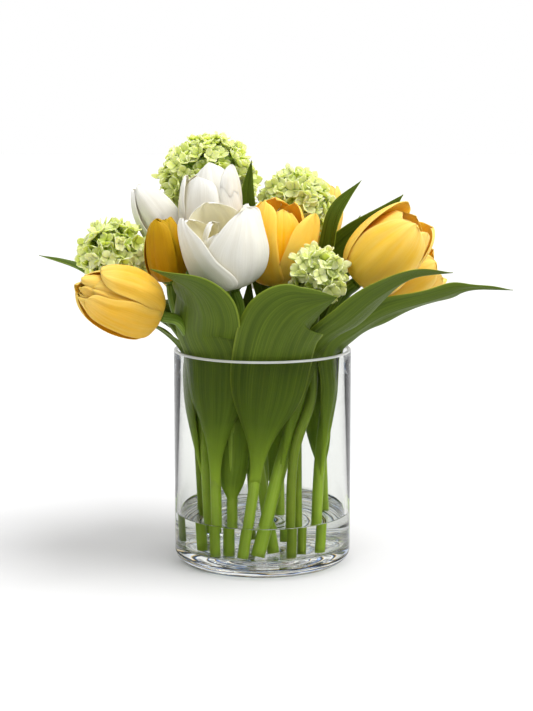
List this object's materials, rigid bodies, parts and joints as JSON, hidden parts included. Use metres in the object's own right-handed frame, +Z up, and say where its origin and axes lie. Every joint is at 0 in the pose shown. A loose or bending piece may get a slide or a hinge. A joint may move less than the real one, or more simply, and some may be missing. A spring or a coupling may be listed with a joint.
{
  "type": "flower arrangement",
  "caption": "Cut tulips and round green flower heads with their leaves, standing in a little water in a clear glass cylinder vase.",
  "frame": {"origin": "centre of the vase's underside", "axes": "+Z up along the vase's axis, -Y towards the front of the arrangement, +X to the right seen from the front"},
  "size_m": [0.3382, 0.2125, 0.3027],
  "materials": {
    "glass": "clear polished glass",
    "water": "clear still water",
    "yellow_petal": "satin petal",
    "orange_petal": "satin petal",
    "white_petal": "satin petal",
    "leaf": "waxy satin leaf",
    "woody_stem": "smooth green bark",
    "floret": "matt petal"
  },
  "bodies": {
    "root": {"snowball_left": "floret", "snowball_low": "floret", "snowball_right": "floret", "snowball_top": "floret", "stem_back_white": "leaf", "stem_centre_orange": "leaf", "stem_front_left": "leaf", "stem_front_white": "leaf", "stem_left_bud": "leaf", "stem_left_small": "leaf", "stem_low_right": "leaf", "stem_rear_left": "leaf", "stem_rear_right": "leaf", "stem_rear_white": "leaf", "stem_right": "leaf", "stem_snowball_left": "woody_stem", "stem_snowball_low": "woody_stem", "stem_snowball_right": "woody_stem", "stem_snowball_top": "woody_stem", "tulip_back_white": "white_petal", "tulip_centre_orange": "orange_petal", "tulip_front_left": "yellow_petal", "tulip_front_white": "white_petal", "tulip_left_bud": "white_petal", "tulip_left_small": "orange_petal", "tulip_low_right": "yellow_petal", "tulip_rear_left": "yellow_petal", "tulip_rear_right": "yellow_petal", "tulip_rear_white": "white_petal", "tulip_right": "yellow_petal", "vase": "glass", "water": "water"}
  },
  "joints": []
}
